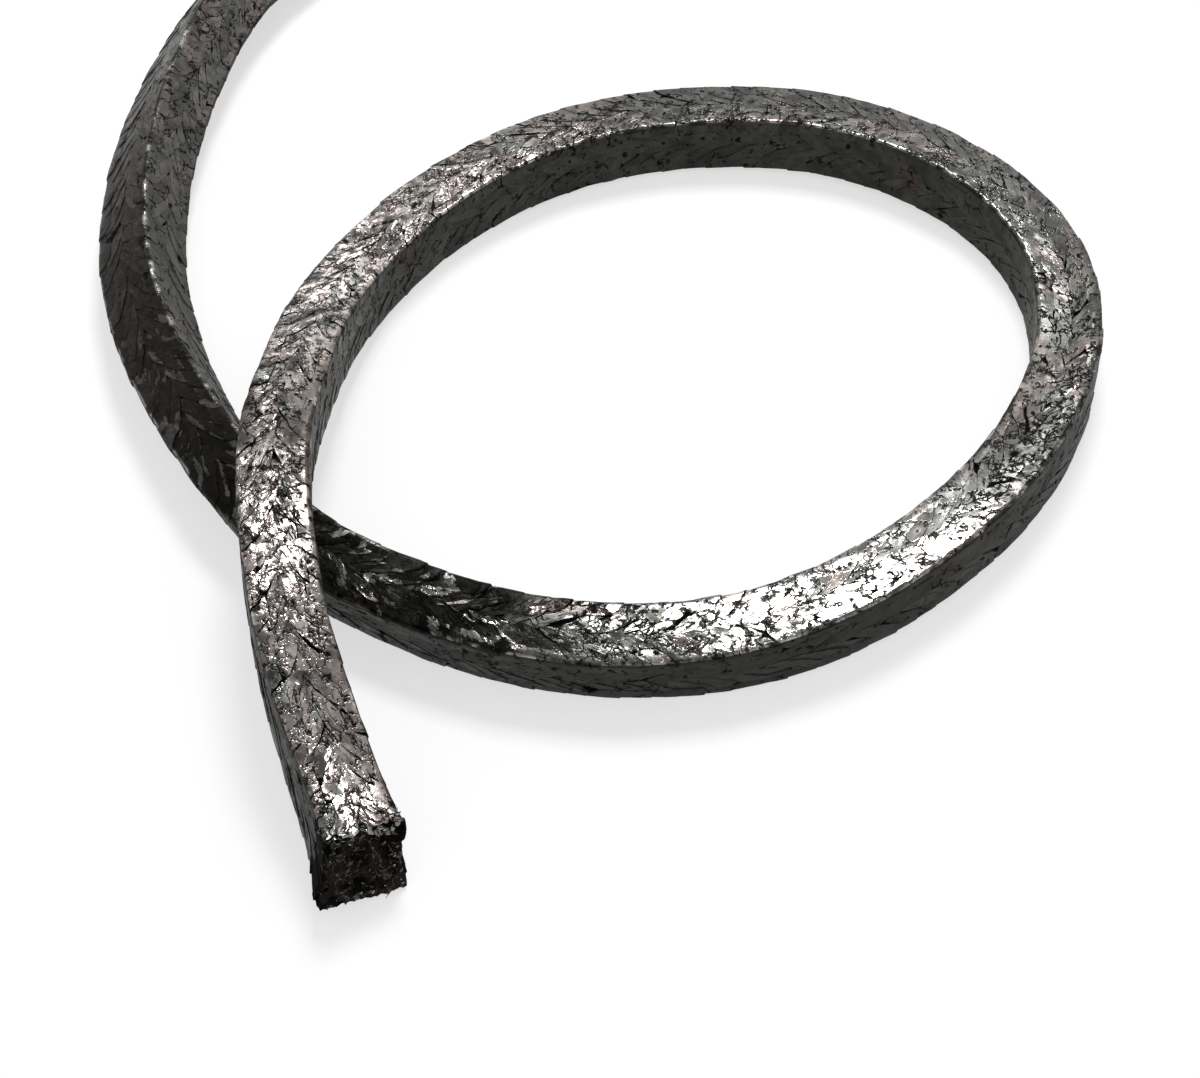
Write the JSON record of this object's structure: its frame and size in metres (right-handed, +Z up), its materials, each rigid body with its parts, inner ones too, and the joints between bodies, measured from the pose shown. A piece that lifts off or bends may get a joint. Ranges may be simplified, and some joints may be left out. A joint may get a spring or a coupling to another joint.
{
  "type": "gland packing",
  "caption": "Length of square braided graphite packing with knife-cut ends, lying flat in one open loop whose near tail passes over itself.",
  "frame": {"origin": "middle of the box around the packing, on the surface it lies on", "axes": "+Z up from that surface; -Y towards the near tail and its cut end; +X towards the round side of the loop"},
  "size_m": [0.1908, 0.2652, 0.0272],
  "materials": {
    "graphite_braid": "dark grey graphite yarn with a dull pencil-lead lustre, bright where the braid's crowns are pressed flat"
  },
  "bodies": {
    "root": {"braided_packing": "graphite_braid"}
  },
  "joints": []
}
